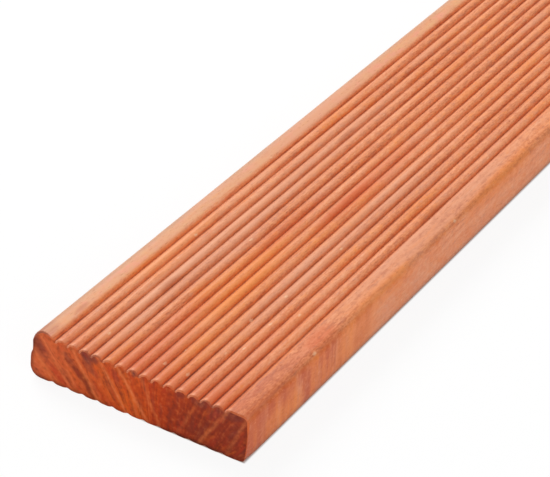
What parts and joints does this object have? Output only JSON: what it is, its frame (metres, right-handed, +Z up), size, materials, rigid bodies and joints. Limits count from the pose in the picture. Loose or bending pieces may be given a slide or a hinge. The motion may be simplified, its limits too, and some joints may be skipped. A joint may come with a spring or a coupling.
{
  "type": "decking board",
  "caption": "Solid hardwood decking board with a reeded walking face between two plain margins, rounded long edges, a shallow ribbed underside and square sawn ends.",
  "frame": {"origin": "middle of the underside, in the plane the board rests on", "axes": "+X across the board to the right, +Y along it away from the sawn end that the picture shows, +Z up from the underside to the reeded face"},
  "size_m": [0.09, 0.9, 0.019],
  "materials": {
    "hardwood": "planed and oiled reddish-orange hardwood"
  },
  "bodies": {
    "root": {"decking_board": "hardwood"}
  },
  "joints": []
}
